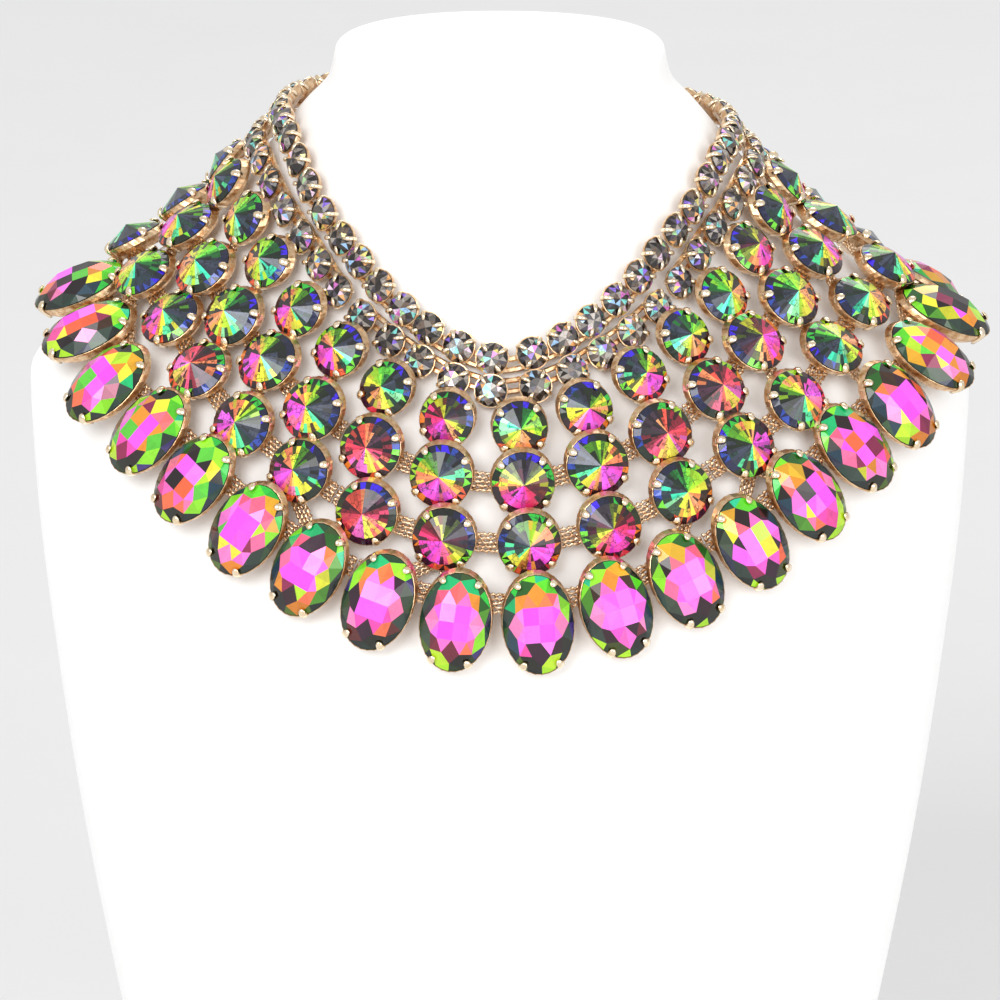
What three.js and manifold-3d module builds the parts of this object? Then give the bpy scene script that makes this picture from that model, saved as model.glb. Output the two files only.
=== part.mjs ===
// A bib necklace of foiled glass stones in gilt cups, lying on a plain neck bust: four rows of big stones
// hang under two rows of small ones. Millimetres, +Z up. The bust stands on its flat base and faces -Y.
import * as THREE from 'three';
import { mergeVertices } from 'three/addons/utils/BufferGeometryUtils.js';
import { ParametricGeometry } from 'three/addons/geometries/ParametricGeometry.js';
import Module from 'manifold-3d';

const wasm = await Module();
wasm.setup();

// ---- driving dimensions ----

const bustHeight = 310;

// The bust's outline, a row for each level: drop below the flat neck cap, half width, reach in front of and
// behind the neck axis, and squareness (2 is an ellipse, less is pointed, more is boxy).
const bustLevels = [
  { drop: 0, halfWidth: 43, front: 43, back: 41, squareness: 2.2 },
  { drop: 9, halfWidth: 45, front: 45.5, back: 44.5, squareness: 2.15 },
  { drop: 17, halfWidth: 52, front: 48, back: 47.5, squareness: 2.1 },
  { drop: 30, halfWidth: 63, front: 53, back: 51.5, squareness: 1.9 },
  { drop: 45, halfWidth: 76, front: 60, back: 56, squareness: 1.65 },
  { drop: 65, halfWidth: 103.5, front: 71, back: 60.5, squareness: 1.5 },
  { drop: 86, halfWidth: 124, front: 83, back: 63, squareness: 1.68 },
  { drop: 113, halfWidth: 122.5, front: 94, back: 62.5, squareness: 2 },
  { drop: 150, halfWidth: 118, front: 108, back: 59, squareness: 2.1 },
  { drop: 193, halfWidth: 112, front: 105, back: 53.5, squareness: 2.2 },
  { drop: 247, halfWidth: 102.7, front: 95, back: 47, squareness: 2.2 },
  { drop: 310, halfWidth: 90, front: 81.5, back: 40.5, squareness: 2.2 },
];
const bustSides = 32;
const bustRingStep = 16;
const capEdge = 1.5;

// The rows, from the bottom up. A row runs round the bust: frontDrop is how far below the cap it hangs in
// front, rise how much higher it lies over the shoulders, power how long it stays high, and roll how much
// lower its left side lies. pitch is the distance between stones, start the place of stone 0 from the
// front, first and last the stones' numbers, and girdle the height of a stone's edge above the foot of its
// place. The stones lean outwards from the bust's own slope by droop degrees in front and sideDroop over the
// shoulders, and lift is how far their places stand off the bust to make room for that.
const rows = {
  oval: {
    frontDrop: 129.8, rise: 59.7, power: 3.44, roll: 2.6, pitch: 19.5, start: 9, first: -9, last: 9,
    girdle: 5.5, droop: 12, sideDroop: -11, lift: 2.2,
  },
  outer: {
    frontDrop: 110.2, rise: 50.3, power: 4.26, roll: 1.9, pitch: 20.25, start: 7, first: -8, last: 8,
    girdle: 5, droop: 15, sideDroop: -8, lift: 1.6,
  },
  middle: {
    frontDrop: 95.9, rise: 45.9, power: 4.36, roll: 1, pitch: 18.7, start: 4.9, first: -8, last: 8,
    girdle: 5, droop: 15, sideDroop: -6, lift: 1.6,
  },
  upper: {
    frontDrop: 83.5, rise: 44.9, power: 4.42, roll: 1.5, pitch: 17, start: 4.2, first: -8, last: 8,
    girdle: 4.5, droop: 16, sideDroop: 0, lift: 1.5,
  },
  lowerChaton: {
    frontDrop: 75, rise: 45.3, power: 4.72, roll: 1.9, pitch: 9.95, start: 8.3, first: -15, last: 13,
    girdle: 3.4, droop: 14, sideDroop: 8, lift: 0.7,
  },
  upperChaton: {
    frontDrop: 67.6, rise: 45.4, power: 5.3, roll: 2.2, pitch: 8.85, start: 7.4, first: -18, last: 16,
    girdle: 3.4, droop: 14, sideDroop: 8, lift: 0.7,
  },
};
const crestTurn = THREE.MathUtils.degToRad(107);   // past this turn a row stays level

// Stones: length across the row, width along it, crown above the girdle, pavilion below it.
const ovalStone = { width: 18, length: 25, crown: 4.2, table: 0.62, shoulder: 3.1, pavilion: 3.2, sides: 10 };
const outerStone = { width: 16, length: 16, crown: 3.9, table: 0, shoulder: 0, pavilion: 3.2, sides: 10 };
const middleStone = { ...outerStone, sides: 8 };
const upperStone = { width: 14, length: 14, crown: 3.4, table: 0, shoulder: 0, pavilion: 2.8, sides: 8 };
const chaton = { width: 8.2, length: 8.2, crown: 1.9, table: 0, shoulder: 0, pavilion: 2, sides: 6 };
const girdleHalf = 0.3;

// Settings
const gap = 0.35;
const cupBottom = 1.1;
const cupFoot = 0.8;              // foot radius over rim radius
const cupLip = 0.15;
const ribbonWidth = 5.4;
const ribbonThick = 1;
const ribbonLevel = 1.75;         // height of a ribbon's middle above the foot of its places
const ovalRibbonShift = 5.5;      // how far up the slope the ribbon of the oval row lies
const hangerReach = 4.8;          // how far above its middle a cup is hung from the one above it
const bendOverlap = 0.4;          // how far the two halves of a bent ribbon run into each other
const straightTurn = 0.2;         // a ribbon that turns further than this round the bust is bent
const chainLink = { width: 1.6, thick: 1, level: 1.8 };

// Back chain and clasp
const chainRadius = 1.1;
const chainLevel = 1.9;
const chainSides = 8;
const claspTurn = Math.PI;
const clasp = { width: 6, length: 12, thick: 3, lift: 0.8 };

// ---- the bust's form ----

// A smooth value between the levels: a cubic whose slope at each level is the harmonic mean of its
// neighbours, so it never overshoots.
function smoothLevel(key, drop) {
  const last = bustLevels.length - 1;
  let i = 0;
  while (i < last - 1 && drop > bustLevels[i + 1].drop) i += 1;
  const secant = (k) => {
    const j = THREE.MathUtils.clamp(k, 0, last - 1);
    return (bustLevels[j + 1][key] - bustLevels[j][key]) / (bustLevels[j + 1].drop - bustLevels[j].drop);
  };
  const slope = (k) => {
    const before = secant(k - 1);
    const after = secant(k);
    if (before * after <= 0) return 0;
    return (2 * before * after) / (before + after);
  };
  const span = bustLevels[i + 1].drop - bustLevels[i].drop;
  const t = (drop - bustLevels[i].drop) / span;
  const a = bustLevels[i][key];
  const b = bustLevels[i + 1][key];
  return a * (1 + 2 * t) * (1 - t) ** 2 + b * t * t * (3 - 2 * t)
    + span * (slope(i) * t * (1 - t) ** 2 - slope(i + 1) * t * t * (1 - t));
}

// A point on the bust. turn is 0 in front and grows towards +X.
function bustPoint(drop, turn) {
  const front = smoothLevel('front', drop);
  const back = smoothLevel('back', drop);
  const bend = 2 / smoothLevel('squareness', drop);
  const s = Math.sin(turn);
  const c = Math.cos(turn);
  return new THREE.Vector3(
    smoothLevel('halfWidth', drop) * Math.sign(s) * Math.abs(s) ** bend,
    (back - front) / 2 - ((back + front) / 2) * Math.sign(c) * Math.abs(c) ** bend,
    bustHeight - drop,
  );
}

function bustNormal(drop, turn) {
  const dropStep = 0.3;
  const turnStep = 0.004;
  const alongDrop = bustPoint(drop + dropStep, turn).sub(bustPoint(drop - dropStep, turn));
  const alongTurn = bustPoint(drop, turn + turnStep).sub(bustPoint(drop, turn - turnStep));
  return alongDrop.cross(alongTurn).normalize();
}

// ---- places along a row ----

function rowDrop(row, turn) {
  const lean = Math.min(Math.abs(turn) / crestTurn, 1) * (Math.PI / 2);
  return row.frontDrop - row.rise * (1 - Math.cos(lean) ** row.power) + row.roll * Math.sin(turn);
}

// The turn at each of a row's stones, found by adding up short steps along the row.
function turnsAlong(row) {
  const step = 0.006;
  const walk = (side, lengths) => {
    const turns = [];
    let turn = 0;
    let length = 0;
    let here = bustPoint(rowDrop(row, 0), 0);
    for (const wanted of lengths) {
      while (length < wanted) {
        turn += side * step;
        const next = bustPoint(rowDrop(row, turn), turn);
        length += next.distanceTo(here);
        here = next;
      }
      turns.push(turn);
    }
    return turns;
  };
  const left = [];
  const right = [];
  for (let i = row.first; i <= row.last; i += 1) {
    const length = row.start + i * row.pitch;
    if (length < 0) left.unshift(-length);
    else right.push(length);
  }
  return [...walk(-1, left).reverse(), ...walk(1, right)];
}

// A place is the frame in which a stone and its cup are made: X along the row, Y up the slope, Z out of the
// bust, leaning by the row's droop.
function placeAt(row, turn) {
  const turnStep = 0.01;
  const degrees = THREE.MathUtils.lerp(row.droop, row.sideDroop, Math.sin(turn) ** 2);
  const droop = THREE.MathUtils.degToRad(degrees);
  const drop = rowDrop(row, turn);
  const out = bustNormal(drop, turn);
  const ahead = bustPoint(rowDrop(row, turn + turnStep), turn + turnStep);
  const behind = bustPoint(rowDrop(row, turn - turnStep), turn - turnStep);
  const along = ahead.sub(behind);
  along.addScaledVector(out, -along.dot(out)).normalize();
  const across = out.clone().cross(along);
  const facing = out.clone().multiplyScalar(Math.cos(droop)).addScaledVector(across, -Math.sin(droop));
  const matrix = new THREE.Matrix4().makeBasis(along, facing.clone().cross(along), facing);
  matrix.setPosition(bustPoint(drop, turn).addScaledVector(out, row.lift));
  return matrix;
}

const turns = {};
const places = {};
for (const [name, row] of Object.entries(rows)) {
  turns[name] = turnsAlong(row);
  places[name] = turns[name].map((turn) => placeAt(row, turn));
}

// ---- shapes ----

// A solid turned about Z from a profile of [radius, height] pairs, squeezed to an oval where asked.
function turned(profile, sides, stretch = 1) {
  const points = profile.map(([radius, height]) => new THREE.Vector2(radius, height));
  const shape = new THREE.LatheGeometry(points, sides, Math.PI / sides);
  shape.rotateX(Math.PI / 2);
  shape.scale(1, stretch, 1);
  return shape;
}

function stoneProfile(stone, girdle) {
  const radius = stone.width / 2;
  const profile = [
    [0, girdle - girdleHalf - stone.pavilion],
    [radius, girdle - girdleHalf],
    [radius, girdle + girdleHalf],
  ];
  if (stone.table > 0) profile.push([radius * stone.table, girdle + stone.shoulder]);
  profile.push([0, girdle + stone.crown]);
  return profile;
}

// An open cup: a tapered wall and a hollow seat that keeps clear of the stone's back.
function cupProfile(stone, girdle) {
  const radius = stone.width / 2 + cupLip;
  return [
    [0, cupBottom],
    [radius * cupFoot, cupBottom],
    [radius, girdle - girdleHalf - gap],
    [0, girdle - girdleHalf - gap - stone.pavilion],
  ];
}

// A cup with its stone as one solid.
function setStoneProfile(stone, girdle) {
  const radius = stone.width / 2;
  const profile = [[0, cupBottom], [radius * cupFoot, cupBottom], ...stoneProfile(stone, girdle).slice(1)];
  profile.splice(3, 1);
  return profile;
}

function placed(shape, place) {
  return shape.applyMatrix4(place);
}

// A flat strip between two points, level with both places' faces.
function strip(from, to, normal, width, thick) {
  const along = to.clone().sub(from);
  const length = along.length();
  along.normalize();
  const out = normal.clone().addScaledVector(along, -normal.dot(along)).normalize();
  const across = out.clone().cross(along);
  const matrix = new THREE.Matrix4().makeBasis(along, across, out);
  matrix.setPosition(from.clone().add(to).multiplyScalar(0.5));
  return new THREE.BoxGeometry(length, width, thick).applyMatrix4(matrix);
}

// The strip that joins two cups: it starts and ends well inside them, or short of the second one.
function link(placeA, placeB, insetA, insetB, size) {
  const level = new THREE.Vector3(0, size.shift ?? 0, size.level);
  const from = level.clone().applyMatrix4(placeA);
  const to = level.clone().applyMatrix4(placeB);
  const way = to.clone().sub(from).normalize();
  from.addScaledVector(way, insetA);
  to.addScaledVector(way, -insetB);
  const zA = new THREE.Vector3().setFromMatrixColumn(placeA, 2);
  const zB = new THREE.Vector3().setFromMatrixColumn(placeB, 2);
  return strip(from, to, zA.add(zB).normalize(), size.width, size.thick);
}

// The strip that hangs one cup from the cup above it: from the low side of the one to the high side of the
// other.
function hanger(top, low, dropTop, riseLow, size) {
  const from = new THREE.Vector3(0, -dropTop, size.level).applyMatrix4(top);
  const to = new THREE.Vector3(0, riseLow, size.level).applyMatrix4(low);
  const zTop = new THREE.Vector3().setFromMatrixColumn(top, 2);
  const zLow = new THREE.Vector3().setFromMatrixColumn(low, 2);
  return strip(from, to, zTop.add(zLow).normalize(), size.width, size.thick);
}

// The same strip bent over a place between the two, where the bust turns too sharply for a straight one.
function bentLink(placeA, between, placeB, insetA, insetB, size) {
  return [
    link(placeA, between, insetA, -bendOverlap, size),
    link(between, placeB, -bendOverlap, insetB, size),
  ];
}

// ---- joining ----

function toManifold(shape) {
  const bare = shape.clone();
  bare.deleteAttribute('normal');
  bare.deleteAttribute('uv');
  const merged = mergeVertices(bare, 1e-4);
  const index = merged.index.array;
  const kept = [];
  for (let i = 0; i < index.length; i += 3) {
    const [a, b, c] = index.slice(i, i + 3);
    if (a !== b && b !== c && a !== c) kept.push(a, b, c);
  }
  return new wasm.Manifold(new wasm.Mesh({
    numProp: 3,
    vertProperties: new Float32Array(merged.attributes.position.array),
    triVerts: new Uint32Array(kept),
  }));
}

function fromManifold(solid) {
  const mesh = solid.getMesh();
  const shape = new THREE.BufferGeometry();
  shape.setAttribute('position', new THREE.BufferAttribute(mesh.vertProperties, 3));
  shape.setIndex(new THREE.BufferAttribute(mesh.triVerts, 1));
  shape.computeVertexNormals();
  return shape;
}

function joined(shapes) {
  const solids = shapes.map(toManifold);
  return fromManifold(solids.reduce((sum, solid) => sum.add(solid)));
}

// ---- finishes ----

const finishes = {
  bust: { color: 0xf7f6f3, roughness: 0.85, metalness: 0 },
  gilt: { color: 0xd9b27c, roughness: 0.3, metalness: 1 },
  ovalGlass: { color: 0xc23fb4, roughness: 0.08, metalness: 0.3 },
  roundGlass: { color: 0x8fae3a, roughness: 0.08, metalness: 0.3 },
  greyGlass: { color: 0x8c8580, roughness: 0.1, metalness: 0.4 },
};

const necklace = new THREE.Group();

function addPiece(name, shape, finish) {
  const mesh = new THREE.Mesh(shape, new THREE.MeshStandardMaterial(finishes[finish]));
  mesh.name = name;
  necklace.add(mesh);
}

// ---- the bust ----

function bustRings() {
  const drops = [];
  for (let i = 0; i < bustLevels.length - 1; i += 1) {
    const span = bustLevels[i + 1].drop - bustLevels[i].drop;
    const parts = Math.ceil(span / bustRingStep);
    for (let k = 0; k < parts; k += 1) drops.push(bustLevels[i].drop + (span * k) / parts);
  }
  drops.push(bustHeight);
  return drops;
}

function bustShape() {
  const drops = bustRings();
  const rims = [{ drop: 0, inset: 1 }, { drop: 0, inset: capEdge / bustLevels[0].halfWidth }];
  drops[0] = capEdge;
  for (const drop of drops) rims.push({ drop, inset: 0 });
  rims.push({ drop: bustHeight, inset: 1 });
  return new ParametricGeometry((u, v, target) => {
    const rim = rims[Math.round(v * (rims.length - 1))];
    const around = (Math.round(u * bustSides) % bustSides) / bustSides;
    const point = bustPoint(rim.drop, Math.PI * (1 - 2 * around));
    target.set(point.x * (1 - rim.inset), point.y * (1 - rim.inset), point.z);
  }, bustSides, rims.length - 1);
}

// ---- the necklace ----

function numberedName(stem, index) {
  return `${stem}_${String(index + 1).padStart(2, '0')}`;
}

function stoneNodes(rowName, stone, stem, finish) {
  places[rowName].forEach((place, i) => {
    const shape = turned(stoneProfile(stone, rows[rowName].girdle), stone.sides, stone.length / stone.width);
    addPiece(numberedName(stem, i), placed(shape, place), finish);
  });
}

// Right and left are the wearer's: the wearer's left is +X.
// The four big rows hang from each other as one ribbon frame, in five runs that follow the bust. A run
// holds the cups whose number lies between its ends, their ribbons, and the stones of the two inner rows.
const runs = [
  { name: 'right_back', from: -9, to: -7 },
  { name: 'right_front', from: -6, to: -3 },
  { name: 'front', from: -2, to: 2 },
  { name: 'left_front', from: 3, to: 6 },
  { name: 'left_back', from: 7, to: 9 },
];
const ribbon = { width: ribbonWidth, thick: ribbonThick, level: ribbonLevel };
const bigRows = [
  { name: 'upper', stone: upperStone, open: false, ribboned: false },
  { name: 'middle', stone: middleStone, open: false, ribboned: true },
  { name: 'outer', stone: outerStone, open: true, ribboned: true },
  { name: 'oval', stone: ovalStone, open: true, ribboned: true, shift: ovalRibbonShift },
];

function cupShape(big) {
  const { stone } = big;
  const { girdle } = rows[big.name];
  const profile = big.open ? cupProfile(stone, girdle) : setStoneProfile(stone, girdle);
  return turned(profile, stone.sides, stone.length / stone.width);
}

function nearest(candidates, place) {
  const away = (other) => new THREE.Vector3().setFromMatrixPosition(other)
    .distanceTo(new THREE.Vector3().setFromMatrixPosition(place));
  return candidates.reduce((best, other) => (away(other) < away(best) ? other : best));
}

function frameRun(run) {
  const shapes = [];
  const inRun = (k) => k >= run.from && k <= run.to;
  bigRows.forEach((big, level) => {
    const row = rows[big.name];
    const above = bigRows[level - 1];
    const hold = big.stone.width / 4;
    places[big.name].forEach((place, i) => {
      const k = row.first + i;
      if (!inRun(k)) return;
      shapes.push(placed(cupShape(big), place));
      const next = places[big.name][i + 1];
      if (next && big.ribboned) {
        const reach = inRun(k + 1) ? hold : big.stone.width / 2 + 2 * gap;
        const [here, there] = turns[big.name].slice(i, i + 2);
        const between = placeAt(row, (here + there) / 2);
        const strap = { ...ribbon, shift: big.shift };
        if (there - here < straightTurn) shapes.push(link(place, next, hold, reach, strap));
        else shapes.push(...bentLink(place, between, next, hold, reach, strap));
      }
      if (!above) return;
      const tops = places[above.name].filter((_, j) => inRun(rows[above.name].first + j));
      const top = nearest(tops, place);
      shapes.push(hanger(top, place, above.stone.length / 3, hangerReach, ribbon));
    });
  });
  return joined(shapes);
}

// A claw chain: small set stones held together by short links.
function chatonRun(rowName, from, to) {
  const row = rows[rowName];
  const shapes = [];
  for (let k = from; k <= to; k += 1) {
    const place = places[rowName][k - row.first];
    shapes.push(placed(turned(setStoneProfile(chaton, row.girdle), chaton.sides), place));
    const next = k < to && places[rowName][k + 1 - row.first];
    if (next) shapes.push(link(place, next, chaton.width / 4, chaton.width / 4, chainLink));
  }
  return joined(shapes);
}

// The fine chain from the last small stone to the clasp, following the same level round the back.
class BackRoute extends THREE.Curve {
  constructor(fromTurn, toTurn) {
    super();
    this.fromTurn = fromTurn;
    this.toTurn = toTurn;
  }

  getPoint(t, target = new THREE.Vector3()) {
    const turn = THREE.MathUtils.lerp(this.fromTurn, this.toTurn, t);
    const drop = rowDrop(rows.upperChaton, turn);
    return target.copy(bustPoint(drop, turn)).addScaledVector(bustNormal(drop, turn), chainLevel);
  }
}

function chainShape(fromTurn, toTurn) {
  const ring = new THREE.Shape();
  for (let i = 0; i < chainSides; i += 1) {
    const angle = (2 * Math.PI * i) / chainSides;
    const corner = [chainRadius * Math.cos(angle), chainRadius * Math.sin(angle)];
    if (i === 0) ring.moveTo(...corner);
    else ring.lineTo(...corner);
  }
  const route = new BackRoute(fromTurn, toTurn);
  const steps = Math.ceil(route.getLength() / (chainRadius * 5));
  const settings = { steps, extrudePath: route, bevelEnabled: false, curveSegments: 1 };
  return new THREE.ExtrudeGeometry(ring, settings);
}

function claspShape() {
  const across = new THREE.Shape();
  const half = clasp.length / 2 - clasp.width / 2;
  across.absarc(half, 0, clasp.width / 2, -Math.PI / 2, Math.PI / 2);
  across.absarc(-half, 0, clasp.width / 2, Math.PI / 2, (3 * Math.PI) / 2);
  const settings = { depth: clasp.thick, bevelEnabled: false, curveSegments: 6 };
  const shape = new THREE.ExtrudeGeometry(across, settings);
  shape.translate(0, 0, clasp.lift);
  return shape;
}

// ---- assembly ----

addPiece('neck_bust', bustShape(), 'bust');
stoneNodes('oval', ovalStone, 'oval_stone', 'ovalGlass');
stoneNodes('outer', outerStone, 'outer_round_stone', 'roundGlass');
for (const run of runs) addPiece(`ribbon_frame_${run.name}`, frameRun(run), 'gilt');

const chatonRuns = [
  { row: 'lowerChaton', stem: 'lower_chaton_row', cuts: [-15, -6, 4, 13] },
  { row: 'upperChaton', stem: 'upper_chaton_row', cuts: [-18, -7, 5, 16] },
];
for (const { row, stem, cuts } of chatonRuns) {
  ['right', 'front', 'left'].forEach((side, i) => {
    const from = cuts[i] + (i > 0 ? 1 : 0);
    addPiece(`${stem}_${side}`, chatonRun(row, from, cuts[i + 1]), 'greyGlass');
  });
}

const endTurns = turns.upperChaton;
const backRadius = bustLevels[3].back;
const stoneReach = (chaton.width / 2 + gap) / backRadius;
const claspReach = (clasp.length / 2 + gap) / backRadius;
const leftStart = endTurns[endTurns.length - 1] + stoneReach;
const rightStart = endTurns[0] - stoneReach;
addPiece('back_chain_left', chainShape(leftStart, claspTurn - claspReach), 'gilt');
addPiece('back_chain_right', chainShape(rightStart, -claspTurn + claspReach), 'gilt');
const claspPlace = placeAt({ ...rows.upperChaton, droop: 0, lift: 0 }, claspTurn);   // flat on the bust
addPiece('clasp', placed(claspShape(), claspPlace), 'gilt');

// The origin is at the middle of the whole object's box, on the base.
const box = new THREE.Box3().setFromObject(necklace);
const middle = box.getCenter(new THREE.Vector3());
necklace.position.set(-middle.x, -middle.y, 0);

export default necklace;
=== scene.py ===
# A bib necklace of foiled glass stones in gilt cups, lying on a matt white neck bust.
# Shapes are worked out in millimetres about the neck axis, and go to metres when a piece is made.
import math

import bpy
import numpy as np
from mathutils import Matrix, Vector


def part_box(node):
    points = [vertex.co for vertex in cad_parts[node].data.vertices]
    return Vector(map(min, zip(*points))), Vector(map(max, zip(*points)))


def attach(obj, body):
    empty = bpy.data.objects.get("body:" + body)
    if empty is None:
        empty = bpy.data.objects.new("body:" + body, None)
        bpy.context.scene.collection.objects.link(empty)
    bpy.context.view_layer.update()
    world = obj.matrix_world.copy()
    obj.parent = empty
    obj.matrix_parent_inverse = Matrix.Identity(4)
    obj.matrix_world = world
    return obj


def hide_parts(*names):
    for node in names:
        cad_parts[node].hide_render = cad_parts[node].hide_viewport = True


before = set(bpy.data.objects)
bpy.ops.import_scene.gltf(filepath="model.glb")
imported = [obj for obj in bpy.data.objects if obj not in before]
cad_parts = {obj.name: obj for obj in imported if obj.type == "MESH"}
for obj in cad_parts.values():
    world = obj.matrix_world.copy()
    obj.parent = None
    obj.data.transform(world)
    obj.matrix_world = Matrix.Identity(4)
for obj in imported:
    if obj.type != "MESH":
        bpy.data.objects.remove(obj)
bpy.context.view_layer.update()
mm = 0.001
print("frame loaded:", len(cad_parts), "nodes")

bust = {
    "height": 310,
    # drop below the neck cap, half width, reach in front of the neck axis, reach behind it, squareness
    "levels": np.array([
        (0, 43, 43, 41, 2.2),
        (9, 45, 45.5, 44.5, 2.15),
        (17, 52, 48, 47.5, 2.1),
        (30, 63, 53, 51.5, 1.9),
        (45, 76, 60, 56, 1.65),
        (65, 103.5, 71, 60.5, 1.5),
        (86, 124, 83, 63, 1.68),
        (113, 122.5, 94, 62.5, 2),
        (150, 118, 108, 59, 2.1),
        (193, 112, 105, 53.5, 2.2),
        (247, 102.7, 95, 47, 2.2),
        (310, 90, 81.5, 40.5, 2.2),
    ]),
    "frontReach": 108,
    "sides": 288,
    "ringStep": 2.4,
    "edgeRadius": 1.5,
    "edgeSteps": 5,
    "capRings": (0.97, 0.7, 0.35, 0.1),   # rings on the cap, by their share of the way in
    "baseRings": (12, 30, 38),            # and under the base, in from its edge
}
bustLow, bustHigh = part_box("neck_bust")
neckAxis = np.array([(bustLow.x + bustHigh.x) / 2, bustLow.y + bust["frontReach"] * mm, 0])


def smoothLevel(column, drop):
    # a cubic between levels; its slope at each level is the harmonic mean of the slopes beside it
    drops, values = bust["levels"][:, 0], bust["levels"][:, column]
    span = np.diff(drops)
    secant = np.diff(values) / span
    before, after = np.r_[secant[0], secant], np.r_[secant, secant[-1]]
    together = np.where(before * after > 0, before + after, 1)
    slope = np.where(before * after > 0, 2 * before * after / together, 0)
    i = np.clip(np.searchsorted(drops, drop, side="right") - 1, 0, len(span) - 1)
    t = (drop - drops[i]) / span[i]
    return (values[i] * (1 + 2 * t) * (1 - t) ** 2 + values[i + 1] * t * t * (3 - 2 * t)
            + span[i] * (slope[i] * t * (1 - t) ** 2 - slope[i + 1] * t * t * (1 - t)))


def bustPoint(drop, turn):
    # a squared-off oval at each level: half widths times the sine and cosine of the turn, each to the power
    # of two over the squareness; turn is 0 in front and grows towards the wearer's left
    drop, turn = np.broadcast_arrays(np.asarray(drop, float), np.asarray(turn, float))
    front, back = smoothLevel(2, drop), smoothLevel(3, drop)
    bend = 2 / smoothLevel(4, drop)
    s, c = np.sin(turn), np.cos(turn)
    return np.stack([
        smoothLevel(1, drop) * np.sign(s) * np.abs(s) ** bend,
        (back - front) / 2 - (back + front) / 2 * np.sign(c) * np.abs(c) ** bend,
        bust["height"] - drop,
    ], axis=-1)


def unit(vectors):
    return vectors / np.linalg.norm(vectors, axis=-1, keepdims=True)


def bustNormal(drop, turn):
    # across the slopes down the bust and round it
    dropStep, turnStep = 0.3, 0.004
    down = bustPoint(drop + dropStep, turn) - bustPoint(drop - dropStep, turn)
    sideways = bustPoint(drop, turn + turnStep) - bustPoint(drop, turn - turnStep)
    return unit(np.cross(down, sideways))


# A row hangs frontDrop below the cap in front and rises over the shoulders. Stones stand pitch apart, the
# one numbered 0 at start from the front; girdle is the height of a stone's edge above the foot of its place.
# Places lean outwards from the bust's own slope, by droop degrees in front and sideDroop over the shoulders,
# and stand off it by lift.
rows = {
    "oval": {"frontDrop": 129.8, "rise": 59.7, "power": 3.44, "roll": 2.6, "pitch": 19.5, "start": 9,
             "first": -9, "last": 9, "girdle": 5.5, "droop": 12, "sideDroop": -11, "lift": 2.2},
    "outer": {"frontDrop": 110.2, "rise": 50.3, "power": 4.26, "roll": 1.9, "pitch": 20.25, "start": 7,
              "first": -8, "last": 8, "girdle": 5, "droop": 15, "sideDroop": -8, "lift": 1.6},
    "middle": {"frontDrop": 95.9, "rise": 45.9, "power": 4.36, "roll": 1, "pitch": 18.7, "start": 4.9,
               "first": -8, "last": 8, "girdle": 5, "droop": 15, "sideDroop": -6, "lift": 1.6},
    "upper": {"frontDrop": 83.5, "rise": 44.9, "power": 4.42, "roll": 1.5, "pitch": 17, "start": 4.2,
              "first": -8, "last": 8, "girdle": 4.5, "droop": 16, "sideDroop": 0, "lift": 1.5},
    "lowerChaton": {"frontDrop": 75, "rise": 45.3, "power": 4.72, "roll": 1.9, "pitch": 9.95, "start": 8.3,
                    "first": -15, "last": 13, "girdle": 3.4, "droop": 14, "sideDroop": 8, "lift": 0.7},
    "upperChaton": {"frontDrop": 67.6, "rise": 45.4, "power": 5.3, "roll": 2.2, "pitch": 8.85, "start": 7.4,
                    "first": -18, "last": 16, "girdle": 3.4, "droop": 14, "sideDroop": 8, "lift": 0.7},
}
backRow = {**rows["upperChaton"], "droop": 0, "sideDroop": 0, "lift": 0}   # the chain and the clasp lie flat
crestTurn = math.radians(107)   # past this turn a row stays level
walkStep = 0.006


def rowDrop(row, turn):
    # falls off from the front by one minus a power of the cosine, plus the row's roll to one side
    lean = np.minimum(np.abs(turn) / crestTurn, 1) * (math.pi / 2)
    return row["frontDrop"] - row["rise"] * (1 - np.cos(lean) ** row["power"]) + row["roll"] * np.sin(turn)


def turnsAlong(row):
    # adds up short steps from the front each way, and takes the first step that reaches each stone's place
    wanted = row["start"] + np.arange(row["first"], row["last"] + 1) * row["pitch"]
    turns = np.zeros(len(wanted))
    for side in (-1, 1):
        walk = side * walkStep * np.arange(620)
        points = bustPoint(rowDrop(row, walk), walk)
        lengths = np.r_[0, np.cumsum(np.linalg.norm(np.diff(points, axis=0), axis=1))]
        mine = wanted < 0 if side < 0 else wanted >= 0
        turns[mine] = side * walkStep * np.searchsorted(lengths, np.abs(wanted[mine]))
    return turns


def placesAt(row, turns, level=0, shift=0):
    # a place is an origin off the bust and three axes: along the row, up the slope, and out, leaning by the
    # droop; level and shift move the origin out and up the slope
    turns = np.asarray(turns, float)
    drop = rowDrop(row, turns)
    out = bustNormal(drop, turns)
    step = 0.01
    along = (bustPoint(rowDrop(row, turns + step), turns + step)
             - bustPoint(rowDrop(row, turns - step), turns - step))
    along = unit(along - np.sum(along * out, axis=-1, keepdims=True) * out)
    share = np.sin(turns)[..., None] ** 2
    droop = np.radians(row["droop"] * (1 - share) + row["sideDroop"] * share)
    facing = out * np.cos(droop) - np.cross(out, along) * np.sin(droop)
    across = np.cross(facing, along)
    return {"origin": bustPoint(drop, turns) + row["lift"] * out + level * facing + shift * across,
            "axes": np.stack([along, across, facing], axis=-2)}


def somePlaces(places, chosen):
    return {"origin": places["origin"][chosen], "axes": places["axes"][chosen]}


turnsOf = {name: turnsAlong(row) for name, row in rows.items()}
placesOf = {name: placesAt(row, turnsOf[name]) for name, row in rows.items()}
print("rows laid out:", {name: len(turns) for name, turns in turnsOf.items()})


def shapeOf(points, faces):
    sizes = np.array([len(face) for face in faces])
    return {"points": np.asarray(points, float), "corners": np.array([c for face in faces for c in face]),
            "sizes": sizes}


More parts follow.
